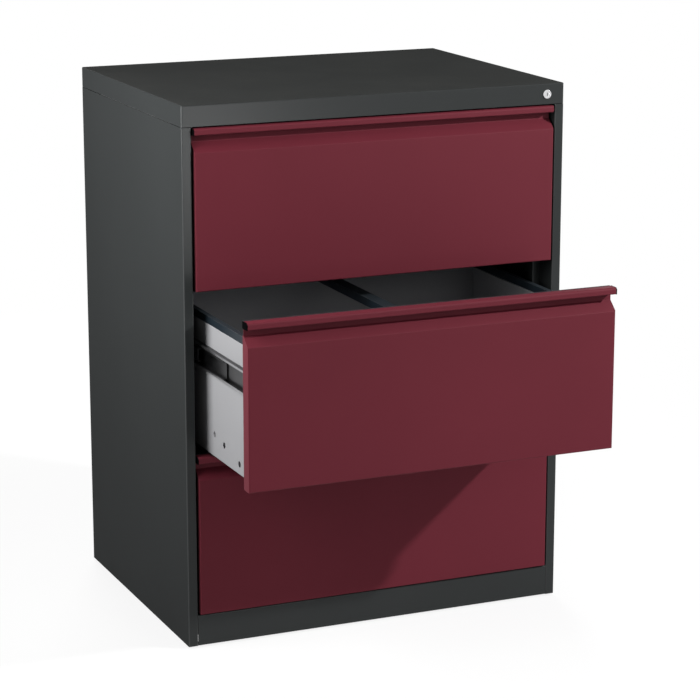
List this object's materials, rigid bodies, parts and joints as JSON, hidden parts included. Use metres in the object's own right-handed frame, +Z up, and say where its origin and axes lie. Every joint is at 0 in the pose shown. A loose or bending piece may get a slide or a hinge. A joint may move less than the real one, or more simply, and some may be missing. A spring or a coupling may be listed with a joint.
{
  "type": "filing cabinet",
  "caption": "Upright steel filing cabinet with full-width drawers for side-by-side suspension files, folded grip fronts, full-extension slides and a central lock.",
  "frame": {"origin": "on the floor, under the middle of the case's plan", "axes": "+Z up, -Y the way the drawers open, +X to the right of someone facing the drawers"},
  "size_m": [0.787, 0.855, 1.045],
  "materials": {
    "case_paint": "anthracite powder coat, fine texture",
    "front_paint": "wine red powder coat, satin",
    "drawer_paint": "light grey paint, satin",
    "rail_paint": "blue-black paint",
    "slide_steel": "black-plated strip",
    "zinc_steel": "zinc-plated sheet",
    "cage_steel": "bright pressed steel",
    "black_plastic": "moulded, matt",
    "lock_chrome": "bright nickel-chrome",
    "lock_steel": "zinc-plated"
  },
  "bodies": {
    "case": {"side_panel_left": "case_paint", "side_panel_right": "case_paint", "back_panel": "case_paint", "top_panel": "case_paint", "top_brackets": "zinc_steel", "base_plinth": "case_paint", "base_floor": "case_paint", "rear_uprights": "zinc_steel", "levelling_feet": "black_plastic", "lock_housing": "lock_chrome", "lock_nut": "lock_steel", "lock_bar_guides": "black_plastic", "bottom_slide_outer_members": "slide_steel", "middle_slide_outer_members": "slide_steel", "top_slide_outer_members": "slide_steel"},
    "lock_barrel": {"lock_plug": "lock_chrome", "lock_cam": "lock_steel"},
    "lock_rod": {"lock_bar": "zinc_steel", "lock_head": "zinc_steel", "lock_tabs": "zinc_steel"},
    "bottom_drawer": {"bottom_front": "front_paint", "bottom_grip_caps": "black_plastic", "bottom_front_liner": "rail_paint", "bottom_side_left": "drawer_paint", "bottom_side_right": "drawer_paint", "bottom_floor": "drawer_paint", "bottom_back": "drawer_paint", "bottom_hanging_rails": "rail_paint", "bottom_lock_catch": "zinc_steel", "bottom_slide_inner_members": "slide_steel"},
    "bottom_middle_members": {"bottom_slide_middle_members": "slide_steel"},
    "bottom_outer_cages": {"bottom_outer_ball_cages": "cage_steel"},
    "bottom_inner_cages": {"bottom_inner_ball_cages": "cage_steel"},
    "middle_drawer": {"middle_front": "front_paint", "middle_grip_caps": "black_plastic", "middle_front_liner": "rail_paint", "middle_side_left": "drawer_paint", "middle_side_right": "drawer_paint", "middle_floor": "drawer_paint", "middle_back": "drawer_paint", "middle_hanging_rails": "rail_paint", "middle_lock_catch": "zinc_steel", "middle_slide_inner_members": "slide_steel"},
    "middle_middle_members": {"middle_slide_middle_members": "slide_steel"},
    "middle_outer_cages": {"middle_outer_ball_cages": "cage_steel"},
    "middle_inner_cages": {"middle_inner_ball_cages": "cage_steel"},
    "top_drawer": {"top_front": "front_paint", "top_grip_caps": "black_plastic", "top_front_liner": "rail_paint", "top_side_left": "drawer_paint", "top_side_right": "drawer_paint", "top_floor": "drawer_paint", "top_back": "drawer_paint", "top_hanging_rails": "rail_paint", "top_lock_catch": "zinc_steel", "top_slide_inner_members": "slide_steel"},
    "top_middle_members": {"top_slide_middle_members": "slide_steel"},
    "top_outer_cages": {"top_outer_ball_cages": "cage_steel"},
    "top_inner_cages": {"top_inner_ball_cages": "cage_steel"}
  },
  "joints": [
    {"name": "bottom_drawer_slide", "type": "slide", "parent": "case", "child": "bottom_drawer", "axis": [0, -1, 0], "range_m": [0, 0.48]},
    {"name": "bottom_middle_member_slide", "type": "slide", "parent": "case", "child": "bottom_middle_members", "axis": [0, -1, 0], "range_m": [0, 0.24]},
    {"name": "bottom_outer_cage_slide", "type": "slide", "parent": "case", "child": "bottom_outer_cages", "axis": [0, -1, 0], "range_m": [0, 0.12]},
    {"name": "bottom_inner_cage_slide", "type": "slide", "parent": "case", "child": "bottom_inner_cages", "axis": [0, -1, 0], "range_m": [0, 0.36]},
    {"name": "middle_drawer_slide", "type": "slide", "parent": "case", "child": "middle_drawer", "axis": [0, -1, 0], "range_m": [-0.26, 0.22]},
    {"name": "middle_middle_member_slide", "type": "slide", "parent": "case", "child": "middle_middle_members", "axis": [0, -1, 0], "range_m": [-0.13, 0.11]},
    {"name": "middle_outer_cage_slide", "type": "slide", "parent": "case", "child": "middle_outer_cages", "axis": [0, -1, 0], "range_m": [-0.065, 0.055]},
    {"name": "middle_inner_cage_slide", "type": "slide", "parent": "case", "child": "middle_inner_cages", "axis": [0, -1, 0], "range_m": [-0.195, 0.165]},
    {"name": "top_drawer_slide", "type": "slide", "parent": "case", "child": "top_drawer", "axis": [0, -1, 0], "range_m": [0, 0.48]},
    {"name": "top_middle_member_slide", "type": "slide", "parent": "case", "child": "top_middle_members", "axis": [0, -1, 0], "range_m": [0, 0.24]},
    {"name": "top_outer_cage_slide", "type": "slide", "parent": "case", "child": "top_outer_cages", "axis": [0, -1, 0], "range_m": [0, 0.12]},
    {"name": "top_inner_cage_slide", "type": "slide", "parent": "case", "child": "top_inner_cages", "axis": [0, -1, 0], "range_m": [0, 0.36]},
    {"name": "lock_turn", "type": "hinge", "parent": "case", "child": "lock_barrel", "pos_m": [0.3568, -0.295, 1.0243], "axis": [0, -1, 0], "range_deg": [0, 90]},
    {"name": "lock_bar_lift", "type": "slide", "parent": "case", "child": "lock_rod", "axis": [0, 0, 1], "range_m": [0, 0.0113]}
  ],
  "couplings": [
    {"joint": "bottom_middle_member_slide", "follows": "bottom_drawer_slide", "ratio": 0.5},
    {"joint": "bottom_outer_cage_slide", "follows": "bottom_drawer_slide", "ratio": 0.25},
    {"joint": "bottom_inner_cage_slide", "follows": "bottom_drawer_slide", "ratio": 0.75},
    {"joint": "middle_middle_member_slide", "follows": "middle_drawer_slide", "ratio": 0.5},
    {"joint": "middle_outer_cage_slide", "follows": "middle_drawer_slide", "ratio": 0.25},
    {"joint": "middle_inner_cage_slide", "follows": "middle_drawer_slide", "ratio": 0.75},
    {"joint": "top_middle_member_slide", "follows": "top_drawer_slide", "ratio": 0.5},
    {"joint": "top_outer_cage_slide", "follows": "top_drawer_slide", "ratio": 0.25},
    {"joint": "top_inner_cage_slide", "follows": "top_drawer_slide", "ratio": 0.75},
    {"joint": "lock_turn", "follows": "lock_bar_lift", "rad_per_m": 138.84}
  ]
}
